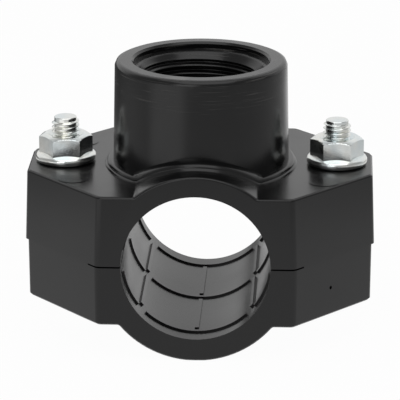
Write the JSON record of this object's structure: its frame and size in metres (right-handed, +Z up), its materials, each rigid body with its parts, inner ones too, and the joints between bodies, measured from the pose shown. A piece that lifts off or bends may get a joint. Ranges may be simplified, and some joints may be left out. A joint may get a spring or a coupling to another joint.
{
  "type": "tapping saddle",
  "caption": "Two-part plastic clamp saddle for a plastic pipe, bolted at both ears, with a female threaded branch outlet on top.",
  "frame": {"origin": "on the axis of the pipe bore, straight under the outlet's axis", "axes": "+Y along the pipe bore, +Z up along the outlet's axis, +X across the two bolts"},
  "size_m": [0.0974, 0.0696, 0.0766],
  "materials": {
    "body_plastic": "black moulded polypropylene, satin, with a fine mould texture",
    "zinc_steel": "bright zinc plating",
    "seal_rubber": "smooth moulded rubber"
  },
  "bodies": {
    "lower_half": {"lower_saddle": "body_plastic", "bolt_left": "zinc_steel", "bolt_right": "zinc_steel"},
    "upper_half": {"upper_saddle": "body_plastic", "outlet_gasket": "seal_rubber"},
    "left_nut": {"nut_left": "zinc_steel"},
    "right_nut": {"nut_right": "zinc_steel"}
  },
  "joints": [
    {"name": "saddle_lift", "type": "slide", "parent": "lower_half", "child": "upper_half", "axis": [0, 0, 1], "range_m": [0, 0.005]},
    {"name": "nut_left_turn", "type": "hinge", "parent": "upper_half", "child": "left_nut", "pos_m": [-0.038, 0, 0.024], "axis": [0, 0, 1], "range_deg": [0, 1440]},
    {"name": "nut_right_turn", "type": "hinge", "parent": "upper_half", "child": "right_nut", "pos_m": [0.038, 0, 0.024], "axis": [0, 0, 1], "range_deg": [0, 1440]}
  ],
  "couplings": [
    {"joint": "nut_left_turn", "follows": "saddle_lift", "rad_per_m": 5026.5},
    {"joint": "nut_right_turn", "follows": "saddle_lift", "rad_per_m": 5026.5}
  ]
}
